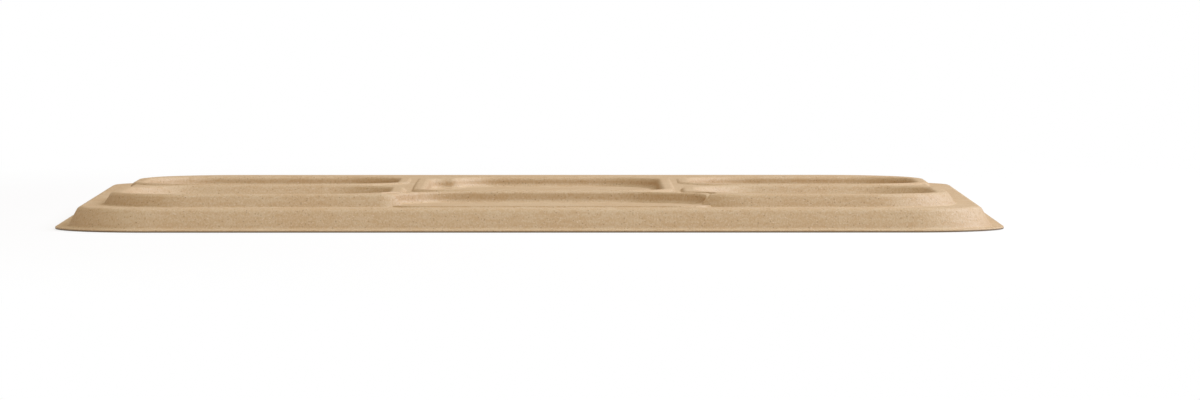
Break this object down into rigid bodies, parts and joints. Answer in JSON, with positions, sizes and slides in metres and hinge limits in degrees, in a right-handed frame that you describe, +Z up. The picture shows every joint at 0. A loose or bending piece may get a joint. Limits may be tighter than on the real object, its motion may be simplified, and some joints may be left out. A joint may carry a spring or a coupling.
{
  "type": "meal tray lid",
  "caption": "Shallow rectangular moulded-fibre lid for a compartment meal tray, with a flat rim, a drafted skirt, a raised block of sunken panels and a finger scoop in its front wall.",
  "frame": {"origin": "middle of the rim's underside, at the lowest point of the lid", "axes": "+X along the long side towards the right end, +Z up through the raised panels, -Y towards the side with the scoop"},
  "size_m": [0.28, 0.222, 0.0106],
  "materials": {
    "fibre": "matt natural sugarcane fibre"
  },
  "bodies": {
    "root": {"lid_shell": "fibre"}
  },
  "joints": []
}
